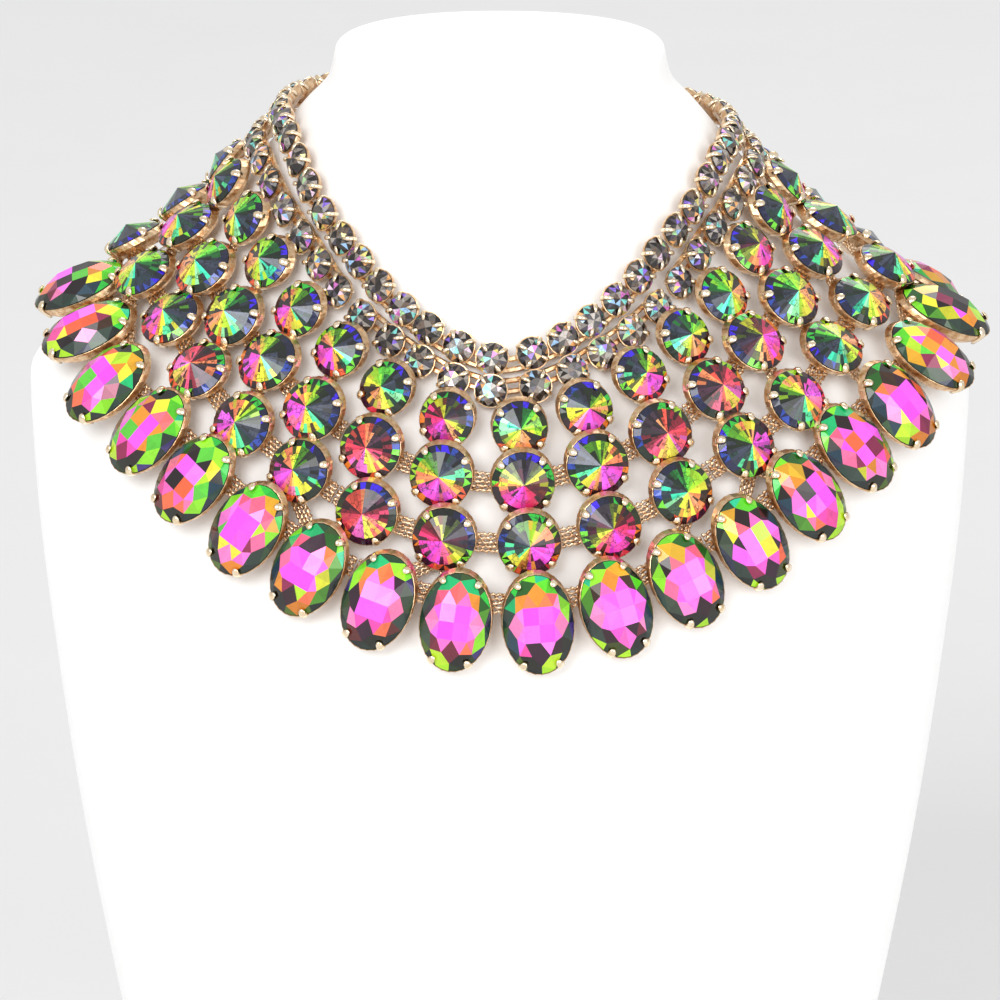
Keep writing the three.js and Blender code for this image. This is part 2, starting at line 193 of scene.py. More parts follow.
def flipped(shape):
    # each face's corners in the opposite order
    sizes = shape["sizes"]
    starts = np.cumsum(sizes) - sizes
    place = np.arange(sizes.sum())
    first, size = np.repeat(starts, sizes), np.repeat(sizes, sizes)
    shape["corners"] = shape["corners"][first + size - 1 - (place - first)]
    return shape


def outwards(shape):
    # turns a closed shape the right way out by the sign of its volume, summed over a fan in each face
    sizes, corners, points = shape["sizes"], shape["corners"], shape["points"]
    starts = np.cumsum(sizes) - sizes
    volume = 0
    for k in range(1, sizes.max() - 1):
        big = sizes > k + 1
        a, b, c = (points[corners[starts[big] + j]] for j in (0, k, k + 1))
        volume += np.einsum("ij,ij->", np.cross(a, b), c)
    return flipped(shape) if volume < 0 else shape


def gridFaces(rings, sides):
    # four-cornered faces between neighbouring rings of a closed tube
    ring, side = np.meshgrid(np.arange(rings - 1), np.arange(sides), indexing="ij")
    after = (side + 1) % sides
    quads = np.stack([ring * sides + side, ring * sides + after,
                      (ring + 1) * sides + after, (ring + 1) * sides + side], axis=-1)
    return quads.reshape(-1, 4)


def tube(grid):
    # a closed tube from a grid of rings by sides, each end shut with one flat face
    rings, sides = grid.shape[:2]
    quads = gridFaces(rings, sides)
    ends = np.r_[np.arange(sides)[::-1], (rings - 1) * sides + np.arange(sides)]
    return outwards({"points": grid.reshape(-1, 3), "corners": np.r_[quads.ravel(), ends],
                     "sizes": np.r_[np.full(len(quads), 4), sides, sides]})


def turned(profile, sides, stretch=1, flute=0):
    # a profile of radius and height carried round; stretch makes it an oval, flute ripples every other side
    profile = np.array(profile, float)
    angle = 2 * math.pi * np.arange(sides) / sides
    ripple = 1 + flute * (-1.0) ** np.arange(sides)
    radius = profile[:, :1] * ripple
    grid = np.stack([radius * np.cos(angle), radius * np.sin(angle) * stretch,
                     np.broadcast_to(profile[:, 1:], radius.shape)], axis=-1)
    return tube(grid)


def copied(shape, places):
    # the shape at every place: origin plus each coordinate times its axis
    points = places["origin"][:, None] + np.einsum("vk,nkj->nvj", shape["points"], places["axes"])
    count = len(points)
    shift = np.repeat(np.arange(count) * len(shape["points"]), len(shape["corners"]))
    return {"points": points.reshape(-1, 3), "corners": np.tile(shape["corners"], count) + shift,
            "sizes": np.tile(shape["sizes"], count)}


def joined(shapes):
    shift = np.cumsum([0] + [len(shape["points"]) for shape in shapes[:-1]])
    made = {key: np.concatenate([shape[key] for shape in shapes]) for key in shapes[0]}
    made["corners"] += np.repeat(shift, [len(shape["corners"]) for shape in shapes])
    return made


def addPiece(name, shape, material, nodes, smooth=False):
    mesh = bpy.data.meshes.new(name)
    sizes = shape["sizes"]
    mesh.vertices.add(len(shape["points"]))
    mesh.vertices.foreach_set("co", (shape["points"] * mm + neckAxis).ravel())
    mesh.loops.add(int(sizes.sum()))
    mesh.loops.foreach_set("vertex_index", shape["corners"].astype(np.int32))
    mesh.polygons.add(len(sizes))
    mesh.polygons.foreach_set("loop_start", (np.cumsum(sizes) - sizes).astype(np.int32))
    mesh.polygons.foreach_set("use_smooth", np.full(len(sizes), smooth))
    mesh.update(calc_edges=True)
    mesh.validate()
    if "colours" in shape:
        facet = mesh.attributes.new("facetColour", "FLOAT_COLOR", "CORNER")
        colours = np.c_[shape["colours"], np.ones(len(sizes))]
        facet.data.foreach_set("color", np.repeat(colours, sizes, axis=0).ravel())
    mesh.materials.append(material)
    piece = bpy.data.objects.new(name, mesh)
    bpy.context.scene.collection.objects.link(piece)
    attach(piece, "root")
    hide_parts(*nodes)
    return piece


def hexLinear(code):
    # sRGB hex to linear light
    channels = np.array([int(code[i:i + 2], 16) for i in (0, 2, 4)]) / 255
    return np.where(channels <= 0.04045, channels / 12.92, ((channels + 0.055) / 1.055) ** 2.4)


def hexRgba(code):
    return (*hexLinear(code), 1)


def hexList(codes):
    return np.array([hexLinear(code) for code in codes.split()])


def addNode(tree, kind, inputs=None, **settings):
    made = tree.nodes.new(kind)
    for key, value in settings.items():
        setattr(made, key, value)
    for key, value in (inputs or {}).items():
        if isinstance(value, tuple) and isinstance(value[0], bpy.types.Node):
            tree.links.new(value[0].outputs[value[1]], made.inputs[key])
        else:
            made.inputs[key].default_value = value
    return made


def newMaterial(name):
    material = bpy.data.materials.new(name)
    material.use_nodes = True
    tree = material.node_tree
    tree.nodes.clear()
    return material, tree, addNode(tree, "ShaderNodeTexCoord")


def finishMaterial(tree, settings):
    shader = addNode(tree, "ShaderNodeBsdfPrincipled", settings)
    addNode(tree, "ShaderNodeOutputMaterial", {"Surface": (shader, "BSDF")})


def perMetre(sizeInMm):
    # a texture's scale for features of this size
    return 1000 / sizeInMm


def noise(tree, place, sizeInMm, detail=2, roughness=0.5):
    return addNode(tree, "ShaderNodeTexNoise", {"Vector": (place, "Object"), "Scale": perMetre(sizeInMm),
                                                "Detail": detail, "Roughness": roughness})


def spread(tree, value, low, high, fromLow=0, fromHigh=1):
    return addNode(tree, "ShaderNodeMapRange", {"Value": value, "From Min": fromLow, "From Max": fromHigh,
                                                "To Min": low, "To Max": high})


def blend(tree, factor, first, second, kind="MIX"):
    # sockets 6 and 7 are the two colours, and 2 is the one that comes out
    return addNode(tree, "ShaderNodeMix", {"Factor": factor, 6: first, 7: second}, data_type="RGBA",
                   blend_type=kind)


def mattCoating():
    # sprayed matt white coating: soft and even, with a fine orange-peel grain that takes the shine away
    material, tree, place = newMaterial("matt sprayed white coating")
    tint = blend(tree, (noise(tree, place, 45, 3, 0.55), "Fac"), hexRgba("FFFFFF"), hexRgba("FAFAF9"))
    grain = noise(tree, place, 0.9, 4, 0.6)
    rough = spread(tree, (grain, "Fac"), 0.62, 0.8)
    bump = addNode(tree, "ShaderNodeBump", {"Height": (grain, "Fac"), "Strength": 0.12, "Distance": 0.0003})
    finishMaterial(tree, {"Base Color": (tint, 2), "Roughness": (rough, "Result"),
                          "Normal": (bump, "Normal"), "IOR": 1.45})
    return material


def foiledGlass(name, metallic, lineSize, lineShade):
    # cut glass with a coloured foil behind it: each facet's hue is painted into its colour as a painted
    # reflection of the foil, under a clear hard shine, broken in patches by thin dark lines painted where the
    # facets behind cross it
    material, tree, place = newMaterial(name)
    facet = addNode(tree, "ShaderNodeAttribute", attribute_name="facetColour")
    bend = noise(tree, place, lineSize * 1.6, 1)
    reach = addNode(tree, "ShaderNodeVectorMath", {0: (bend, "Color"), "Scale": lineSize * 1.5 * mm},
                    operation="SCALE")
    bent = addNode(tree, "ShaderNodeVectorMath", {0: (place, "Object"), 1: (reach, "Vector")})
    cells = addNode(tree, "ShaderNodeTexVoronoi", {"Vector": (bent, "Vector"), "Scale": perMetre(lineSize)},
                    feature="DISTANCE_TO_EDGE")
    line = spread(tree, (cells, "Distance"), lineShade, 1, 0, 0.1)
    where = spread(tree, (noise(tree, place, 2.2), "Fac"), 0, 1, 0.46, 0.56)
    tinted = blend(tree, (where, "Result"), (facet, "Color"), (line, "Result"), "MULTIPLY")
    rough = spread(tree, (noise(tree, place, 3.5), "Fac"), 0.1, 0.2)
    finishMaterial(tree, {"Base Color": (tinted, 2), "Metallic": metallic, "Roughness": (rough, "Result"),
                          "IOR": 1.55, "Coat Weight": 0.3, "Coat Roughness": 0.02, "Coat IOR": 1.55})
    return material


def giltMetal(name, pale, deep, patchSize, lowRough, highRough, bumpSize, bumpDepth):
    # pale gold plating, mottled at random: a pale tone where it is smoother, a warmer brown where it is
    # rougher
    material, tree, place = newMaterial(name)
    patches = noise(tree, place, patchSize, 4, 0.65)
    share = spread(tree, (patches, "Fac"), 0, 1, 0.35, 0.7)
    tint = blend(tree, (share, "Result"), hexRgba(pale), hexRgba(deep))
    rough = spread(tree, (patches, "Fac"), lowRough, highRough)
    bump = addNode(tree, "ShaderNodeBump", {"Height": (noise(tree, place, bumpSize), "Fac"), "Strength": 0.5,
                                            "Distance": bumpDepth * mm})
    finishMaterial(tree, {"Base Color": (tint, 2), "Metallic": 1.0, "Roughness": (rough, "Result"),
                          "Normal": (bump, "Normal")})
    return material


def palePaper():
    # a seamless paper floor: dull, with a faint fibre mottle
    material, tree, place = newMaterial("pale background paper")
    tint = blend(tree, (noise(tree, place, 60, 3), "Fac"), hexRgba("E1E1E1"), hexRgba("DEDEDE"))
    finishMaterial(tree, {"Base Color": (tint, 2), "Roughness": 0.95, "Specular IOR Level": 0.1})
    return material


whiteCoating = mattCoating()
rainbowGlass = foiledGlass("rainbow foiled glass", 0.15, 1.3, 0.12)
ovalGlass = foiledGlass("rainbow foiled glass, wide facets", 0.12, 2.6, 0.86)
smokyGlass = foiledGlass("smoky foiled glass", 0.2, 1.0, 0.3)
giltCups = giltMetal("stamped gilt cups", "F2D6B0", "B47C48", 1.8, 0.2, 0.38, 0.5, 0.03)
giltProngs = giltMetal("polished gilt prongs", "FFF0D8", "EFD2A6", 2, 0.12, 0.22, 0.8, 0.01)
giltWeave = giltMetal("woven gilt wire", "F8E2C2", "B07A4A", 0.9, 0.22, 0.36, 0.3, 0.02)
giltChain = giltMetal("gilt chain wire", "EACB9C", "CFA06A", 2, 0.16, 0.3, 0.6, 0.01)


def bustSkin():
    # rings from the middle of the cap, over its rounded edge, down the body and in under the base
    height, edge = bust["height"], bust["edgeRadius"]
    curl = np.linspace(0, math.pi / 2, bust["edgeSteps"] + 1)
    capReach = bust["levels"][0, 1]
    capRings = np.array(bust["capRings"])
    inset = np.r_[edge + (capReach - edge) * capRings, edge * (1 - np.sin(curl))]
    down = np.r_[np.zeros(len(capRings)), edge * (1 - np.cos(curl))]
    body = np.arange(edge + bust["ringStep"], height - edge - 0.5, bust["ringStep"])
    inset = np.r_[inset, np.zeros(len(body)), edge * (1 - np.cos(curl)), edge + np.array(bust["baseRings"])]
    down = np.r_[down, body, height - edge + edge * np.sin(curl),
                 np.full(len(bust["baseRings"]), height)]
    turn = math.pi - 2 * math.pi * np.arange(bust["sides"]) / bust["sides"]
    grid = bustPoint(down[:, None], turn[None])
    flat = grid[..., :2]
    reach = np.linalg.norm(flat, axis=-1, keepdims=True)
    grid[..., :2] = flat * np.maximum(1 - inset[:, None, None] / reach, 0.02)
    return tube(grid)


addPiece("neckBustSkin", bustSkin(), whiteCoating, ["neck_bust"], smooth=True)
print("bust made")


stones = {
    "oval": {"width": 18, "length": 25, "crown": 4.2, "pavilion": 3.2},
    "outer": {"width": 16, "length": 16, "crown": 3.9, "pavilion": 3.2},
    "middle": {"width": 16, "length": 16, "crown": 3.9, "pavilion": 3.2},
    "upper": {"width": 14, "length": 14, "crown": 3.4, "pavilion": 2.8},
    "lowerChaton": {"width": 8.2, "length": 8.2, "crown": 1.9, "pavilion": 2},
    "upperChaton": {"width": 8.2, "length": 8.2, "crown": 1.9, "pavilion": 2},
}
girdleHalf = 0.3


def ringAt(count, radius, stone, height, offset=0.0):
    # points round an ellipse at a share of the stone's outline
    angle = 2 * math.pi * (np.arange(count) + offset) / count
    return np.stack([radius * stone["width"] / 2 * np.cos(angle),
                     radius * stone["length"] / 2 * np.sin(angle), np.full(count, height)], axis=-1)


def backFaces(sides, rim, under, foot):
    # the girdle's band and the cone behind it, two facets to a side
    nexts = [(j, (j + 1) % sides) for j in range(sides)]
    return [face for j, k in nexts for face in ((rim + j, under + j, under + k, rim + k),
                                                (under + j, foot, under + k))]


def pointedCut(stone, girdle, mains=16):
    # a round stone cut to a point: long wedges from the tip to near the rim, each in two slivers and three
    # bands, then a zigzag of small facets down to the girdle
    count = 2 * mains
    top = girdle + girdleHalf
    crown = stone["crown"] - girdleHalf
    chord = np.where(np.arange(count) % 2, math.cos(math.pi / mains), 1)[:, None] * [1, 1, 0] + [0, 0, 1]
    bands = [(0.24, 0.78), (0.52, 0.53), (0.8, 0.28)]
    points = [np.array([[0, 0, top + crown]])]
    points += [ringAt(count, r, stone, top + crown * h) * chord for r, h in bands]
    points += [ringAt(count, 1, stone, top), ringAt(count, 1, stone, girdle - girdleHalf),
               np.array([[0, 0, girdle - girdleHalf - stone["pavilion"]]])]
    faces, zones = [], []
    ring = [1 + i * count for i in range(6)]
    for j in range(count):
        k = (j + 1) % count
        faces.append((0, ring[0] + j, ring[0] + k))
        faces.append((ring[0] + j, ring[1] + j, ring[1] + k, ring[0] + k))
        faces.append((ring[1] + j, ring[2] + j, ring[2] + k, ring[1] + k))
        if j % 2:
            faces += [(ring[2] + j, ring[3] + j, ring[3] + k), (ring[2] + j, ring[3] + k, ring[2] + k)]
        else:
            faces += [(ring[2] + j, ring[3] + j, ring[2] + k), (ring[3] + j, ring[3] + k, ring[2] + k)]
        faces.append((ring[3] + j, ring[4] + j, ring[4] + k, ring[3] + k))
        faces.append((ring[4] + j, ring[5], ring[4] + k))
        zones += [0, 1, 2, 3, 4, 5, 6]
    shape = shapeOf(np.concatenate(points), faces)
    return outwards(shape), np.array(zones)


def checkerCut(stone, girdle):
    # an oval stone with a chequered crown: a block of four facets in the middle, then rings of triangles and
    # kites, each kite in two halves, that step down to the girdle
    top = girdle + girdleHalf
    crown = stone["crown"] - girdleHalf
    half = np.array([stone["width"] / 2, stone["length"] / 2, 1])
    block = np.array([(0.43, 0, 0.95), (0.43, 0.36, 0.88), (0, 0.36, 0.95), (-0.43, 0.36, 0.88),
                      (-0.43, 0, 0.95), (-0.43, -0.36, 0.88), (0, -0.36, 0.95), (0.43, -0.36, 0.88)])
    block = block * half * [1, 1, crown] + [0, 0, top]
    inner = ringAt(8, 0.69, stone, top + crown * 0.62, 0.5)
    outer = ringAt(8, 0.85, stone, top + crown * 0.36)
    rim = ringAt(32, 1, stone, top)
    under = ringAt(32, 1, stone, girdle - girdleHalf)
    points = np.concatenate([[[0, 0, top + crown]], block, inner, outer, rim, under,
                             [[0, 0, girdle - girdleHalf - stone["pavilion"]]]])
    block0, inner0, outer0, rim0, under0, foot = 1, 9, 17, 25, 57, 89
    faces, zones = [], []
    for k in range(4):
        faces.append((0, block0 + 2 * k, block0 + 2 * k + 1, block0 + (2 * k + 2) % 8))
        zones.append(0)
    for k in range(8):
        n, p = (k + 1) % 8, (k - 1) % 8
        faces.append((block0 + k, inner0 + k, block0 + n))
        faces += [(block0 + k, inner0 + p, outer0 + k), (block0 + k, outer0 + k, inner0 + k)]
        middle = rim0 + 4 * k + 2
        faces += [(inner0 + k, outer0 + k, middle), (inner0 + k, middle, outer0 + n)]
        faces += [(outer0 + k, rim0 + (4 * k - 2) % 32, rim0 + (4 * k - 1) % 32, rim0 + 4 * k),
                  (outer0 + k, rim0 + 4 * k, rim0 + 4 * k + 1, middle)]
        zones += [1, 2, 2, 3, 3, 4, 4]
    faces += backFaces(32, rim0, under0, foot)
    return outwards(shapeOf(points, faces)), np.array(zones + [5, 6] * 32)


def brilliantCut(stone, girdle):
    # a small round stone: an eight-sided table in eight patches, then star, kite and girdle facets
    top = girdle + girdleHalf
    crown = stone["crown"] - girdleHalf
    table = ringAt(8, 0.5, stone, top + crown)
    kite = ringAt(8, 0.74, stone, top + crown * 0.6, 0.5)
    rim = ringAt(16, 1, stone, top)
    under = ringAt(16, 1, stone, girdle - girdleHalf)
    points = np.concatenate([[[0, 0, top + crown]], table, kite, rim, under,
                             [[0, 0, girdle - girdleHalf - stone["pavilion"]]]])
    table0, kite0, rim0, under0, foot = 1, 9, 17, 33, 49
    faces, zones = [], []
    for k in range(8):
        n, p = (k + 1) % 8, (k - 1) % 8
        faces += [(0, table0 + k, table0 + n), (table0 + k, kite0 + k, table0 + n),
                  (table0 + k, kite0 + p, rim0 + 2 * k), (table0 + k, rim0 + 2 * k, kite0 + k),
                  (kite0 + k, rim0 + 2 * k, rim0 + 2 * k + 1), (kite0 + k, rim0 + 2 * k + 1, rim0 + 2 * n)]
        zones += [0, 1, 2, 2, 3, 3]
    faces += backFaces(16, rim0, under0, foot)
    return outwards(shapeOf(points, faces)), np.array(zones + [5, 6] * 16)


def facetMiddles(shape):
    # the mean of each face's corners
    sizes = shape["sizes"]
    starts = np.cumsum(sizes) - sizes
    return np.add.reduceat(shape["points"][shape["corners"]], starts, axis=0) / sizes[:, None]


def facetAngles(shape, stone, places):
    # where each facet lies in its stone, as an angle: 0 down the slope, half a turn up it towards the
    # throat, and a quarter turn on the side that is nearer the top of the shoulder
    middles = facetMiddles(shape)[:, :2] / [stone["width"] / 2, stone["length"] / 2]
    side = np.where(places["origin"][:, 0] < 0, -1, 1)[:, None]
    return np.arctan2(middles[:, 0] * side, -middles[:, 1])


# Sixteen sectors round a pointed stone, from the side away from the throat and up over its top; the hue
# by the way a facet faces is a painted reflection of the foil, and the darkest hues are painted shade.
roundFamilies = {
    "pink": "FF52EC FF5CF0 FF48C8 2A0E1C FF8A5C F4D840 A8D82A 4C8A1E "
            "16240E 343A4A 3A4254 24403A 58E8A0 F6F23C FFA44E FF6E9A",
    "lime": "F4A070 FF9A5A 2A160A E8E838 B4F02A 8CE034 5CC83A 1C6A2C "
            "16281C 343C4C 2A3A44 3CE0B0 9CF8B0 C8F83A F8F048 F4B848",
    "wine": "FF44E8 FF3CB8 F0307A E02A60 5A0C20 6A2A12 C8C82A 4A5A1E "
            "2E2830 302638 4A1E30 6A7A1E E8F04A FF9A60 FF5E8E FF48C0",
    "rose": "FF70D0 FF5878 F04858 E83A5A 8A1A2E 3A0E18 E05040 F08A5A "
            "3A2A36 4A2A3E 2A1826 8A2A3A F0507A FF7A6A F8C85A F4E84A",
}
# Eight sectors of the small facets at the rim: the plain dark ones, painted shade, and the ones that flash,
# painted glints.
rimPaintedShade = "3A1230 3C1A20 222C10 10180E 181C38 1C2044 142214 2C141C"
rimPaintedGlint = "E8324E F0822A A4D82A 2EB83C 3C20DC 2C48A8 78E03A F0623A"


roundPattern = {
    "turn": 0.9,        # how far the pattern turns up, in radians, on the stones over the shoulders
    "wander": 0.3,      # how far one stone's pattern is turned from the next one's, in radians
    "jitter": 0.07,     # the same for one sliver
    "sliver": 0.26,     # how much one sliver is brighter than another
    "bands": (1.15, 1, 0.85, 1, 1, 1, 1),          # brightness by zone, from the tip to the back
    "dark": (0.03, 0.08, 0.15, 0, 0, 0, 0),        # how many facets of a zone are dark
    "glint": 0.34,      # how many facets at the rim get a painted glint
}


def roundColours(shape, zones, stone, places, rng, shares):
    # a family for each stone, then a hue by sector, with ragged ends where an outer band takes its
    # neighbour's; a brightness by sliver; and dark rim facets with a few that flash. Hues, sliver brightness
    # and dark facets are painted reflection and painted shade of the foil; the flashing rim facets are
    # painted glints.
    count, facets = len(places["origin"]), len(zones)
    sideTurn = roundPattern["turn"] * np.abs(places["origin"][:, :1]) / bust["levels"][:, 1].max()
    angle = facetAngles(shape, stone, places) - sideTurn + rng.normal(0, roundPattern["wander"], (count, 1))
    sliverOf = (np.arange(facets) // 7)[None]   # seven facets to a sliver
    perStone = np.arange(count)[:, None]
    jitter = rng.normal(0, roundPattern["jitter"], (count, facets // 7))[perStone, sliverOf]
    ragged = np.where(zones == 2, 1, 0) * rng.choice([-1, 0, 0, 1], (count, facets))
    sector = (np.floor((angle + jitter) / (2 * math.pi) * 16 + 0.5) + ragged).astype(int) % 16
    families = np.array([hexList(codes) for codes in roundFamilies.values()])
    family = rng.choice(len(families), count, p=shares)[:, None]
    colours = families[family, sector]
    bright = rng.lognormal(0, roundPattern["sliver"], (count, facets // 7))[perStone, sliverOf]
    band = np.array(roundPattern["bands"])[zones]
    colours = colours * (bright * band)[..., None]
    odd = rng.random((count, facets)) < np.array(roundPattern["dark"])[zones]
    colours = np.where(odd[..., None], colours * 0.08 + 0.006, colours)
    eighth = np.floor((angle / (2 * math.pi) * 8 + 0.5) % 8).astype(int)
    glint = rng.random((count, facets)) < roundPattern["glint"]
    edge = np.where(glint[..., None], hexList(rimPaintedGlint)[eighth], hexList(rimPaintedShade)[eighth])
    colours = np.where(np.isin(zones, (3, 4))[None, :, None], edge, colours)
    return np.where((zones >= 5)[None, :, None], hexLinear("1E2420"), colours)


# Hues of an oval by ring, for its upper end, its sides and its lower end: painted reflections of the foil,
# pinks in the middle and greens and near blacks, as painted shade, in the outer rings and towards the lower
# end.
ovalHues = {
    0: ["FF5CF6 FF50F0 FF78F4 FF62F0 FF56F4 F84CE8"] * 3,
    1: ["FF6A80 FF6CC0 FF62E0 F47A4A", "FF62EE FF6CE0 FF54F4 FF7AE0", "FF6CC8 FF5CD0 F048B0 FF74E0"],
    2: ["F4743C F05A7E E08A2A FF6A6A D8A828 38200E", "FF78D8 FF60EC F06A9A FF86C0 C8C82A FF6CE4",
        "FF64C0 E8489A F0704A 6A1A2E FF80C8 2A0A18"],
    3: ["54C81E 9CF02A 1E5A16 140E08 E0A420 10B46A", "26362E 384636 4A8A22 1E3A4A 8ADC22 2C3C34",
        "18180C 36400E D07A1E C0E82A 0E0E0A 5A1E1C"],
    4: ["1A4226 26B83A 0E1812 1EC08A 30481E 7ADC22", "24382E 22283E 1E3A30 3A2A6A 2E4A2C 182420",
        "0E1812 1E300E 4A6410 16281E A4D81E 141814"],
}
ovalKites = np.array([0, 1, 1, 2, 2, 3, 4])   # which facets of an eighth share a hue
ovalFar = {"from": 36, "reach": 120, "most": 0.6}   # the change of the painted reflection hues towards the shoulders, in mm
ovalFarHues = "B4E02A F4623A 1E0A0C 5CC83A 180A10 F8EC3C 8A1E4A E89028"


def ovalColours(shape, zones, stone, places, rng):
    # a hue from the list for the facet's ring and for how high on the stone it lies; stones far round the
    # shoulder take more lime and orange. These hues and the few dark facets are painted reflection and shade.
    count, facets = len(places["origin"]), len(zones)
    high = -np.cos(facetAngles(shape, stone, places) + rng.normal(0, 0.2, (count, 1)))
    part = np.where(high > 0.5, 0, np.where(high < -0.6, 2, 1))
    kite = np.arange(facets)
    first, each = 4, len(ovalKites)   # the four facets of the middle block, then eight eighths
    kite[first:first + 8 * each] = first + np.repeat(np.arange(8), each) * each + np.tile(ovalKites, 8)
    perStone = np.arange(count)[:, None]
    draw = rng.random((count, facets))[perStone, kite[None]]
    colours = np.zeros((count, facets, 3))
    for ring, lists in ovalHues.items():
        for which, codes in enumerate(lists):
            hues = hexList(codes)
            chosen = hues[(draw * len(hues)).astype(int)]
            colours = np.where(((zones == ring)[None] & (part == which))[..., None], chosen, colours)
    dark = (rng.random((count, facets))[perStone, kite[None]] < 0.06) & np.isin(zones, (1, 2))
    colours = np.where(dark[..., None], hexLinear("2E0A24"), colours)
    beyond = np.abs(places["origin"][:, 0]) - ovalFar["from"]
    far = np.clip(beyond / ovalFar["reach"], 0, ovalFar["most"])[:, None]
    other = hexList(ovalFarHues)
    swap = (rng.random((count, facets))[perStone, kite[None]] < far) & (zones <= 2)
    pick = (rng.random((count, facets))[perStone, kite[None]] * len(other)).astype(int)
    colours = np.where(swap[..., None], other[pick], colours)
    colours *= rng.lognormal(0, 0.1, (count, facets, 1))
    return np.where((zones >= 5)[None, :, None], hexLinear("202C26"), colours)


def chatonColours(shape, zones, stone, places, rng):
    # smoky greys and browns, one facet in five a pale painted glint of another hue
    count, facets = len(places["origin"]), len(zones)
    greys = hexList("5E5852 8A827A 322C28 A8A098 1A1616 4E4854 6E5C50 241E1C")
    paintedGlints = hexList("A0C8F0 D070C0 B0E0A0 F0B070 8F6FE0 F0E080 F0D0E8 80D8D0")
    glinting = rng.random((count, facets)) < 0.2
    colours = np.where(glinting[..., None], paintedGlints[rng.integers(0, 8, (count, facets))],
                       greys[rng.integers(0, 8, (count, facets))])
    return np.where((zones >= 5)[None, :, None], hexLinear("3A3634"), colours)


def numbered(stem, i):
    return f"{stem}_{i + 1:02d}"


def stoneCopies(places, shape, colours):
    made = copied(shape, places)
    made["colours"] = np.clip(colours, 0, 1).reshape(-1, 3)
    return made


def addStones(stem, node, name, shape, paint, material):
    for i in range(len(turnsOf[name])):
        made = stoneCopies(somePlaces(placesOf[name], [i]), shape, paint[i:i + 1])
        addPiece(numbered(stem, i), made, material, [numbered(node, i)])


rng = np.random.default_rng(7)
ovalShape, ovalZones = checkerCut(stones["oval"], rows["oval"]["girdle"])
ovalPaint = ovalColours(ovalShape, ovalZones, stones["oval"], placesOf["oval"], rng)
addStones("ovalStone", "oval_stone", "oval", ovalShape, ovalPaint, ovalGlass)

outerShape, outerZones = pointedCut(stones["outer"], rows["outer"]["girdle"])
outerPaint = roundColours(outerShape, outerZones, stones["outer"], placesOf["outer"], rng,
                          (0.55, 0.1, 0.2, 0.15))
addStones("outerRoundStone", "outer_round_stone", "outer", outerShape, outerPaint, rainbowGlass)
print("oval and outer stones made")


cup = {
    "bottom": 1.1, "foot": 0.8, "gap": 0.35, "lip": 0.22, "flute": 0.004, "sides": 64,
    "swell": 0.35, "lean": 0.95,             # how far the wall swells below the lip, and towards the throat
    "roundAngles": (45, 135, 225, 315),      # where the four prongs stand, in degrees from along the row
    "ovalAngles": (57, 123, 237, 303),
}
prong = {"width": 1.05, "thick": 0.42, "sides": 8}
chatonProng = {"width": 0.6, "thick": 0.3, "sides": 6}
ribbon = {
    "strands": 5, "spacing": 1.08,
    "wide": 0.58, "thin": 0.36, "sides": 6,   # half the width and thickness of one wire
    "twist": 2.6, "ring": 0.4,                # the length of a full turn, and between two rings of a wire
    "sway": 0.17, "weave": 1.9,               # how far each wire swings to the side, and how often
    "level": 1.75,                            # height above the foot of the place
}
ovalRibbonShift = 5.5   # the lowest ribbon runs this far up the slope from its stones' middles
column = {**ribbon, "strands": 4, "spacing": 1.0, "reach": 4.8}   # ends this far up the cup below


def cupShape(stone, girdle, sides, flute):
    # a tapered fluted wall that swells on the side towards the throat, a thin lip, and a seat that follows
    # the stone's back; rows are radius, height and how far that ring is moved up the slope
    radius = stone["width"] / 2
    rim = girdle - girdleHalf
    swell, lean = cup["swell"], cup["lean"]
    rings = np.array([
        (0.05, cup["bottom"], 0), (radius * cup["foot"] * 0.97, cup["bottom"], lean / 2),
        (radius * cup["foot"], cup["bottom"] + 0.25, lean / 2), (radius + swell - 0.45, rim - 2.2, lean),
        (radius + swell, rim - 1.2, lean), (radius + cup["lip"] + 0.1, rim - 0.2, lean / 4),
        (radius + cup["lip"], rim + 0.25, 0), (radius + cup["lip"] - 0.12, rim + 0.32, 0),
        (radius + 0.03, rim + 0.2, 0), (radius - 0.05, rim - cup["gap"], 0),
        (0.05, rim - cup["gap"] - stone["pavilion"], 0)])
    shape = turned(rings[:, :2], sides, stone["length"] / stone["width"], flute)
    shape["points"][:, 1] += np.repeat(rings[:, 2], sides)
    return shape


def sweptClaw(path, widths, thicks, sides):
    # an ellipse carried along a path in the plane of radius and height: wide across it, thin in it
    path = np.array(path, float)
    way = unit(np.gradient(path, axis=0))
    lean = np.stack([-way[:, 1], way[:, 0]], axis=-1)
    angle = 2 * math.pi * np.arange(sides) / sides
    inPlane = path[:, None] + lean[:, None] * (np.array(thicks)[:, None] * np.sin(angle))[..., None]
    across = np.array(widths)[:, None] * np.cos(angle)
    return np.stack([inPlane[..., 0], across, inPlane[..., 1]], axis=-1)


def prongShape(stone, girdle, angles, size, path, taper):
    # the same claw stood at each angle round the outline, facing square to it
    claws = []
    claw = sweptClaw(path, size["width"] * taper, size["thick"] * taper, size["sides"])
    for degrees in angles:
        a = math.radians(degrees)
        edge = np.array([stone["width"] / 2 * math.cos(a), stone["length"] / 2 * math.sin(a)])
        facing = unit(np.array([math.cos(a) / stone["width"], math.sin(a) / stone["length"]]))
        beside = np.array([-facing[1], facing[0]])
        flat = edge + claw[..., :1] * facing + claw[..., 1:2] * beside
        claws.append(tube(np.concatenate([flat, claw[..., 2:] + girdle], axis=-1)))
    return joined(claws)


